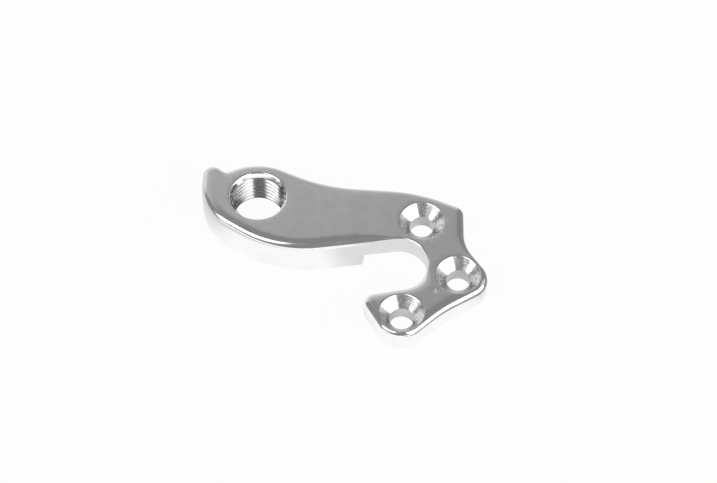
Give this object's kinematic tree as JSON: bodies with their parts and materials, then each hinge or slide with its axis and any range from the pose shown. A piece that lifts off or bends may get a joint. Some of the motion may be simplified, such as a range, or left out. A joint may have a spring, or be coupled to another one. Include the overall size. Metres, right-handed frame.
{
  "type": "bicycle derailleur hanger",
  "caption": "Curved aluminium derailleur hanger with a threaded derailleur bore, a stop nose, an open axle hook and countersunk screw holes for fixing it to a bicycle frame.",
  "frame": {"origin": "on the axis of the derailleur bore, in the plane of the seat that lies on the frame", "axes": "+Z along the derailleur bore towards the outer face, +X along the arm towards the wheel axle, so +Y is rearward on the bicycle"},
  "size_m": [0.0517, 0.0379, 0.0075],
  "materials": {
    "hanger": "machined and polished, clear anodised"
  },
  "bodies": {
    "root": {"derailleur_hanger": "hanger"}
  },
  "joints": []
}
